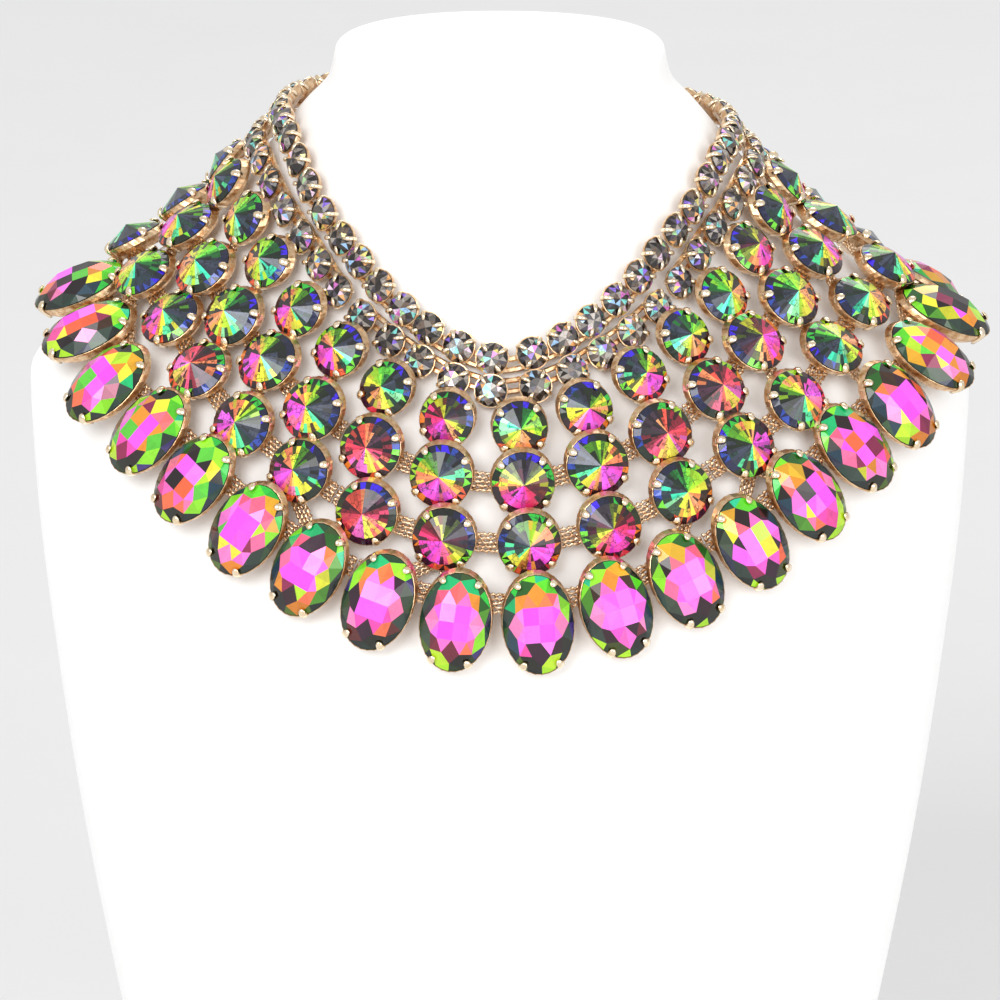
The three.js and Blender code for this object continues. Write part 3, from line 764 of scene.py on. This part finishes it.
# A claw's path is its distance out from the stone's outline and its height above the girdle.
bigClawPath = [(-1.1, -3.3), (-0.35, -1.8), (0.34, -0.3), (0.36, 0.7), (-0.25, 1.3), (-0.9, 1.68),
               (-1.4, 1.84)]
bigClawTaper = np.array([0.8, 0.95, 1.0, 1.0, 1.0, 0.82, 0.35])
smallClawPath = [(-0.7, -2.2), (0.25, -1.0), (0.42, 0.4), (0.1, 1.25), (-0.8, 1.75), (-2.0, 2.05)]
smallClawTaper = np.array([0.8, 1.0, 1.0, 1.0, 1.0, 0.6])


def strandTubes(centre, across, out, size):
    # two-ply wires side by side: a flat ellipse that turns as it goes, so its edges show as slanting marks
    steps = np.linalg.norm(np.diff(centre, axis=0), axis=1)
    walked = np.r_[0, np.cumsum(steps)]
    count = max(4, int(walked[-1] / size["ring"]) + 1)
    at = np.linspace(0, walked[-1], count)
    centre, across, out = (np.stack([np.interp(at, walked, v[:, k]) for k in range(3)], axis=-1)
                           for v in (centre, across, out))
    angle = 2 * math.pi * np.arange(size["sides"]) / size["sides"]
    wires = []
    for w in range(size["strands"]):
        offset = (w - (size["strands"] - 1) / 2) * size["spacing"]
        twist = 2 * math.pi * at / size["twist"] + w * 2.1
        wide, thin = size["wide"] * np.cos(angle), size["thin"] * np.sin(angle)
        y = wide * np.cos(twist)[:, None] - thin * np.sin(twist)[:, None]
        z = wide * np.sin(twist)[:, None] + thin * np.cos(twist)[:, None]
        sway = size["sway"] * np.sin(2 * math.pi * at / size["weave"] + w * math.pi)
        middle = centre + across * (offset + sway)[:, None]
        wires.append(tube(middle[:, None] + across[:, None] * y[..., None] + out[:, None] * z[..., None]))
    return joined(wires)


def rowRibbon(row, fromTurn, toTurn, size, shift=0):
    turns = np.linspace(fromTurn, toTurn, 60)
    places = placesAt(row, turns, size["level"], shift)
    return strandTubes(places["origin"], places["axes"][:, 1], places["axes"][:, 2], size)


def columnRibbon(top, low, dropTop, size):
    # straight from the low side of one cup to the high side of the cup below it, blending their facings
    share = np.linspace(0, 1, 12)[:, None]
    out = unit(top["axes"][2] * (1 - share) + low["axes"][2] * share)
    start = top["origin"] + top["axes"][2] * size["level"] - top["axes"][1] * dropTop
    end = low["origin"] + low["axes"][2] * size["level"] + low["axes"][1] * size["reach"]
    line = start * (1 - share) + end * share
    way = unit(line[-1:] - line[:1])
    return strandTubes(line, unit(np.cross(out, way)), out, size)


# The stones that each run of the frame holds, by number from the front.
runs = {"right_back": (-9, -7), "right_front": (-6, -3), "front": (-2, 2), "left_front": (3, 6),
        "left_back": (7, 9)}
# The big rows from the throat down, and whether a ribbon runs along each.
hanging = [("upper", False), ("middle", True), ("outer", True), ("oval", True)]
cupShapes, clawShapes = {}, {}
for name, _ in hanging:
    girdle = rows[name]["girdle"]
    cupShapes[name] = cupShape(stones[name], girdle, cup["sides"], cup["flute"])
    angles = cup["ovalAngles"] if name == "oval" else cup["roundAngles"]
    clawShapes[name] = prongShape(stones[name], girdle, angles, prong, bigClawPath, bigClawTaper)
middleShape, middleZones = outerShape, outerZones
upperShape, upperZones = pointedCut(stones["upper"], rows["upper"]["girdle"], 14)
middlePaint = roundColours(middleShape, middleZones, stones["middle"], placesOf["middle"], rng,
                           (0.5, 0.12, 0.22, 0.16))
upperPaint = roundColours(upperShape, upperZones, stones["upper"], placesOf["upper"], rng,
                          (0.45, 0.4, 0.1, 0.05))

for run, (low, high) in runs.items():
    node = "ribbon_frame_" + run
    camel = "".join(word.capitalize() for word in run.split("_"))
    cups, claws, weave, held = [], [], [], {}
    for level, (name, ribboned) in enumerate(hanging):
        row = rows[name]
        chosen = np.arange(max(low, row["first"]), min(high, row["last"]) + 1) - row["first"]
        held[name] = chosen
        places = somePlaces(placesOf[name], chosen)
        cups.append(copied(cupShapes[name], places))
        claws.append(copied(clawShapes[name], places))
        if ribboned:
            turns = turnsOf[name]
            ahead = chosen[-1] + 1 < len(turns)
            end = (turns[chosen[-1]] + turns[chosen[-1] + 1]) / 2 - 0.002 if ahead else turns[chosen[-1]]
            start = (turns[chosen[0]] + turns[chosen[0] - 1]) / 2 + 0.002 if chosen[0] > 0 else turns[0]
            weave.append(rowRibbon(row, start, end, ribbon, ovalRibbonShift if name == "oval" else 0))
        if level:
            above = hanging[level - 1][0]
            tops = placesOf[above]["origin"][held[above]]
            for i in chosen:
                away = np.linalg.norm(tops - placesOf[name]["origin"][i], axis=1)
                top = held[above][np.argmin(away)]
                weave.append(columnRibbon(somePlaces(placesOf[above], top), somePlaces(placesOf[name], i),
                                          stones[above]["length"] / 3, column))
    addPiece("cups" + camel, joined(cups), giltCups, [node])
    addPiece("prongs" + camel, joined(claws), giltProngs, [node], smooth=True)
    addPiece("wovenRibbon" + camel, joined(weave), giltWeave, [node], smooth=True)
    inner = [stoneCopies(somePlaces(placesOf["middle"], held["middle"]), middleShape,
                         middlePaint[held["middle"]]),
             stoneCopies(somePlaces(placesOf["upper"], held["upper"]), upperShape, upperPaint[held["upper"]])]
    addPiece("innerRoundStones" + camel, joined(inner), rainbowGlass, [node])
print("cups, prongs and ribbon made")


chatonRows = {
    "lowerChaton": {"node": "lower_chaton_row_", "cuts": (-15, -6, 4, 13), "links": (0, 2.8)},
    "upperChaton": {"node": "upper_chaton_row_", "cuts": (-18, -7, 5, 16), "links": (0, -2.8)},
}
untwisted = 1e6   # so long a turn that the wire stays flat
chatonLink = {"strands": 1, "spacing": 0, "wide": 0.75, "thin": 0.5, "sides": 6, "twist": untwisted,
              "ring": 0.6, "sway": 0, "weave": 1, "level": 1.8}


def basketShape(stone, girdle):
    # a small cup: narrow foot, swelling wall, and a lip just under the stone's edge
    radius = stone["width"] / 2
    rim = girdle - girdleHalf
    profile = [(0.05, 1.1), (radius * 0.66, 1.1), (radius * 0.84, 1.5), (radius * 1.02, rim - 0.7),
               (radius + 0.3, rim - 0.15), (radius + 0.26, rim + 0.15), (radius + 0.02, rim + 0.18),
               (radius - 0.1, rim - 0.3), (0.05, rim - 0.3 - stone["pavilion"] * 0.9)]
    return turned(profile, 20)


for name, settings in chatonRows.items():
    row, stone, places = rows[name], stones[name], placesOf[name]
    shape, zones = brilliantCut(stone, row["girdle"])
    paint = chatonColours(shape, zones, stone, places, rng)
    basket = basketShape(stone, row["girdle"])
    claw = prongShape(stone, row["girdle"], cup["roundAngles"], chatonProng, smallClawPath, smallClawTaper)
    for k, side in enumerate(("right", "front", "left")):
        first = settings["cuts"][k] + (1 if k else 0)
        chosen = np.arange(first, settings["cuts"][k + 1] + 1) - row["first"]
        mine = somePlaces(places, chosen)
        node = settings["node"] + side
        camel = name[0].lower() + name[1:] + side.capitalize()
        links = [rowRibbon(row, turnsOf[name][i], turnsOf[name][i + 1], chatonLink, shift)
                 for i in chosen[:-1] for shift in settings["links"]]
        addPiece(camel + "Stones", stoneCopies(mine, shape, paint[chosen]), smokyGlass,
                 [node])
        addPiece(camel + "Cups", joined([copied(basket, mine)] + links), giltCups, [node])
        addPiece(camel + "Prongs", copied(claw, mine), giltProngs, [node], smooth=True)
print("small stones made")


chain = {"length": 3.4, "width": 2.3, "wire": 0.28, "pitch": 2.35, "level": 1.9, "steps": 14, "sides": 6}
clasp = {"width": 6, "length": 12, "thick": 3, "lift": 0.8, "edge": 0.9}


def linkShape(onEdge):
    # a stretched ring of round wire, flat on the neck or stood on edge
    a = 2 * math.pi * np.arange(chain["steps"]) / chain["steps"]
    b = 2 * math.pi * np.arange(chain["sides"]) / chain["sides"]
    reachX, reachY = chain["length"] / 2 - chain["wire"], chain["width"] / 2 - chain["wire"]
    line = np.stack([reachX * np.cos(a), reachY * np.sin(a), 0 * a], axis=-1)
    facing = unit(np.stack([np.cos(a) / reachX, np.sin(a) / reachY, 0 * a], axis=-1))
    grid = line[:, None] + chain["wire"] * (facing[:, None] * np.cos(b)[:, None]
                                            + np.array([0, 0, 1]) * np.sin(b)[:, None])
    if onEdge:
        grid = grid[..., [0, 2, 1]] * [1, 0.9, 0.9]
    quads = gridFaces(len(a) + 1, len(b)) % (len(a) * len(b))   # the last ring is the first one again
    return outwards({"points": grid.reshape(-1, 3), "corners": quads.ravel(),
                     "sizes": np.full(len(quads), 4)})


def chainLinks(fromTurn, toTurn):
    # links at even steps along the level round the back, every other one on edge
    fine = np.linspace(fromTurn, toTurn, 400)
    points = placesAt(backRow, fine, chain["level"])["origin"]
    walked = np.r_[0, np.cumsum(np.linalg.norm(np.diff(points, axis=0), axis=1))]
    count = int(walked[-1] / chain["pitch"])
    turns = np.interp((np.arange(count) + 0.5) * walked[-1] / count, walked, fine)
    places = placesAt(backRow, turns, chain["level"])
    return joined([copied(linkShape(False), somePlaces(places, np.arange(0, count, 2))),
                   copied(linkShape(True), somePlaces(places, np.arange(1, count, 2)))])


def claspShape():
    # rounded ends and a soft edge: a stadium outline drawn in a little at the bottom and the top
    half, radius = (clasp["length"] - clasp["width"]) / 2, clasp["width"] / 2
    a = np.linspace(0, 2 * math.pi, 56, endpoint=False)
    centre = half * np.sign(np.cos(a))
    curl = np.linspace(0, math.pi / 2, 5)
    inset = np.r_[radius * 0.9, clasp["edge"] * (1 - np.sin(curl)), clasp["edge"] * (1 - np.cos(curl)),
                  radius * 0.9]
    height = np.r_[0, clasp["edge"] * (1 - np.cos(curl)),
                   clasp["thick"] - clasp["edge"] * (1 - np.sin(curl)), clasp["thick"]]
    reach = radius - inset[:, None]
    grid = np.stack([centre * np.clip(reach / radius * 2, 0.2, 1) + reach * np.cos(a), reach * np.sin(a),
                     np.broadcast_to(height[:, None] + clasp["lift"], (len(inset), len(a)))], axis=-1)
    return tube(grid)


endTurns = turnsOf["upperChaton"]
backReach = 51.5   # about how far behind the neck axis the chain lies
endGap = 0.35      # between the chain and what it runs up to
stoneReach = (stones["upperChaton"]["width"] / 2 + endGap) / backReach   # as a turn round the neck
claspReach = (clasp["length"] / 2 + endGap) / backReach
for side, sign, end in (("left", 1, endTurns[-1]), ("right", -1, endTurns[0])):
    links = chainLinks(end + sign * stoneReach, sign * (math.pi - claspReach))
    addPiece("backChain" + side.capitalize(), links, giltChain, ["back_chain_" + side],
             smooth=True)
addPiece("barrelClasp", copied(claspShape(), placesAt(backRow, [math.pi])), giltChain,
         ["clasp"], smooth=True)
print("chain and clasp made")


floorReach = 9   # metres each way
floorMesh = bpy.data.meshes.new("floor")
floorMesh.from_pydata([(x * floorReach, y * floorReach, 0) for x, y in ((-1, -1), (1, -1), (1, 1), (-1, 1))],
                      [], [(0, 1, 2, 3)])
floorMesh.materials.append(palePaper())
floor = bpy.data.objects.new("floor", floorMesh)
bpy.context.scene.collection.objects.link(floor)

studio = {
    "worldLight": 0.74,
    "target": (0, 0, 0.2),
    # name: place in metres, size in metres, power in watts
    "lamps": {
        "key": ((-0.9, -2.0, 1.6), 1.6, 34),
        "fill": ((1.3, -1.8, 0.9), 1.6, 16),
        "back": ((0.3, 1.6, 1.9), 1.4, 12),
    },
}
world = bpy.data.worlds.new("studio")
bpy.context.scene.world = world
world.use_nodes = True
world.node_tree.nodes["Background"].inputs["Color"].default_value = (1, 1, 1, 1)
world.node_tree.nodes["Background"].inputs["Strength"].default_value = studio["worldLight"]
for name, (spot, size, power) in studio["lamps"].items():
    lamp = bpy.data.lights.new(name, "AREA")
    lamp.shape, lamp.size, lamp.energy = "DISK", size, power
    lampObject = bpy.data.objects.new(name, lamp)
    lampObject.location = spot
    lampObject.rotation_euler = (Vector(studio["target"]) - Vector(spot)).to_track_quat("-Z", "Y").to_euler()
    bpy.context.scene.collection.objects.link(lampObject)
bpy.context.scene.view_settings.view_transform = "Standard"

view = {"lookDown": math.radians(15.5), "distance": 2.15, "aimHeight": 0.1853, "lens": 290.2, "sensor": 36,
        "clipEnd": 50}
aim = Vector((neckAxis[0], neckAxis[1], view["aimHeight"]))
camera = bpy.data.objects.new("camera", bpy.data.cameras.new("camera"))
camera.data.lens, camera.data.sensor_width = view["lens"], view["sensor"]
camera.data.clip_end = view["clipEnd"]
backwards = Vector((0, -math.cos(view["lookDown"]), math.sin(view["lookDown"])))
camera.location = aim + view["distance"] * backwards
camera.rotation_euler = (aim - camera.location).to_track_quat("-Z", "Y").to_euler()
bpy.context.scene.collection.objects.link(camera)
bpy.context.scene.camera = camera
print("studio ready")
